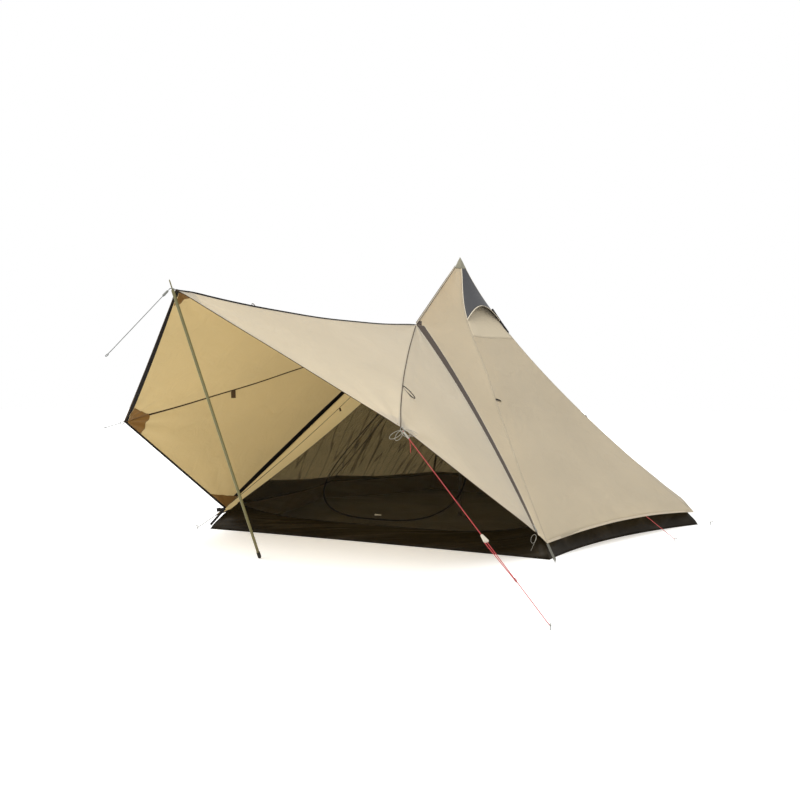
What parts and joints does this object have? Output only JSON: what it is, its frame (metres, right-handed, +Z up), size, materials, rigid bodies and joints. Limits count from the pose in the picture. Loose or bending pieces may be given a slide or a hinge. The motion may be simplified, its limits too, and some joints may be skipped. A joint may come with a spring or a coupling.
{
  "type": "pyramid tent",
  "caption": "Pyramid tent on a centre pole, its front doors pitched forward on a leaning pole as an awning, with a mesh inner tent, a D door and a tub floor.",
  "frame": {"origin": "on the ground under the tent's peak", "axes": "+Z up, -Y out of the door towards the awning's pole, +X to the right of someone facing the back wall"},
  "size_m": [4.557, 6.4467, 2.5],
  "materials": {
    "fly_cloth": "woven",
    "awning_cloth": "woven",
    "dark_cloth": "coated",
    "grey_cloth": "woven",
    "mesh_cloth": "see-through mesh",
    "olive_steel": "satin paint",
    "black_rubber": "matte",
    "bare_steel": "satin",
    "grey_plastic": "matte",
    "white_plastic": "matte",
    "grey_webbing": "webbing",
    "grey_cord": "braided cord",
    "red_cord": "braided cord"
  },
  "bodies": {
    "tent": {"awning_pole_foot": "black_rubber", "awning_pole_lower": "olive_steel", "awning_pole_middle": "olive_steel", "awning_pole_upper": "olive_steel", "awning_ring_front": "bare_steel", "awning_ring_left": "bare_steel", "awning_ring_right": "bare_steel", "awning_side_left": "awning_cloth", "awning_side_right": "awning_cloth", "awning_top_left": "awning_cloth", "awning_top_right": "awning_cloth", "bathtub_wall": "dark_cloth", "centre_pole_foot": "black_rubber", "centre_pole_lower": "olive_steel", "centre_pole_middle": "olive_steel", "centre_pole_upper": "olive_steel", "corner_peg_back_left": "bare_steel", "corner_peg_back_right": "bare_steel", "corner_peg_front_left": "bare_steel", "corner_peg_front_right": "bare_steel", "corner_peg_left": "bare_steel", "corner_peg_right": "bare_steel", "corner_strap_back_left": "grey_webbing", "corner_strap_back_right": "grey_webbing", "corner_strap_front_left": "grey_webbing", "corner_strap_front_right": "grey_webbing", "corner_strap_left": "grey_webbing", "corner_strap_right": "grey_webbing", "door_zip_left": "grey_cloth", "door_zip_right": "grey_cloth", "fly_back": "fly_cloth", "fly_back_left": "fly_cloth", "fly_back_right": "fly_cloth", "fly_front_left": "fly_cloth", "fly_front_right": "fly_cloth", "fly_left": "fly_cloth", "fly_right": "fly_cloth", "guy_cord_front": "grey_cord", "guy_cord_left": "grey_cord", "guy_cord_right": "red_cord", "guy_cord_side": "red_cord", "guy_hank_right": "grey_cord", "guy_peg_right": "bare_steel", "guy_peg_side": "bare_steel", "inner_floor": "dark_cloth", "inner_front": "mesh_cloth", "inner_wall_back": "mesh_cloth", "inner_wall_back_left": "mesh_cloth", "inner_wall_back_right": "mesh_cloth", "inner_wall_left": "mesh_cloth", "inner_wall_right": "mesh_cloth", "peak_cap": "fly_cloth", "vent_hood": "grey_cloth"},
    "inner_door": {"inner_door": "mesh_cloth"},
    "inner_door_slider": {"inner_door_slider": "white_plastic"},
    "zip_slider_right": {"zip_slider_right": "bare_steel"},
    "zip_slider_left": {"zip_slider_left": "bare_steel"},
    "guy_adjuster_right": {"guy_adjuster_right": "white_plastic"},
    "guy_adjuster_front": {"guy_adjuster_front": "grey_plastic"},
    "vent_strut": {"vent_strut": "grey_plastic"}
  },
  "joints": [
    {"name": "inner_door_hinge", "type": "hinge", "parent": "tent", "child": "inner_door", "pos_m": [-0.41851, -0.85631, 0.9711], "axis": [-0.3122, -0.637, -0.7048], "range_deg": [0, 60]},
    {"name": "inner_door_zip", "type": "slide", "parent": "inner_door", "child": "inner_door_slider", "axis": [0.9995, 0.0322, 0], "range_m": [-0.2, 0.2]},
    {"name": "door_zip_right", "type": "slide", "parent": "tent", "child": "zip_slider_right", "axis": [-0.5721, 0.444, 0.6896], "range_m": [0, 0.2]},
    {"name": "door_zip_left", "type": "slide", "parent": "tent", "child": "zip_slider_left", "axis": [0.5358, 0.4838, 0.692], "range_m": [0, 0.2]},
    {"name": "right_line_adjust", "type": "slide", "parent": "tent", "child": "guy_adjuster_right", "axis": [0.7329, -0.2956, -0.6128], "range_m": [-0.5, 0.4]},
    {"name": "front_line_adjust", "type": "slide", "parent": "tent", "child": "guy_adjuster_front", "axis": [-0.0882, -0.7194, -0.689], "range_m": [0, 0.4]},
    {"name": "vent_strut_fold", "type": "hinge", "parent": "tent", "child": "vent_strut", "pos_m": [0.22605, -0.09223, 2.01234], "axis": [0.2915, 0.9566, 0], "range_deg": [0, 75]}
  ]
}
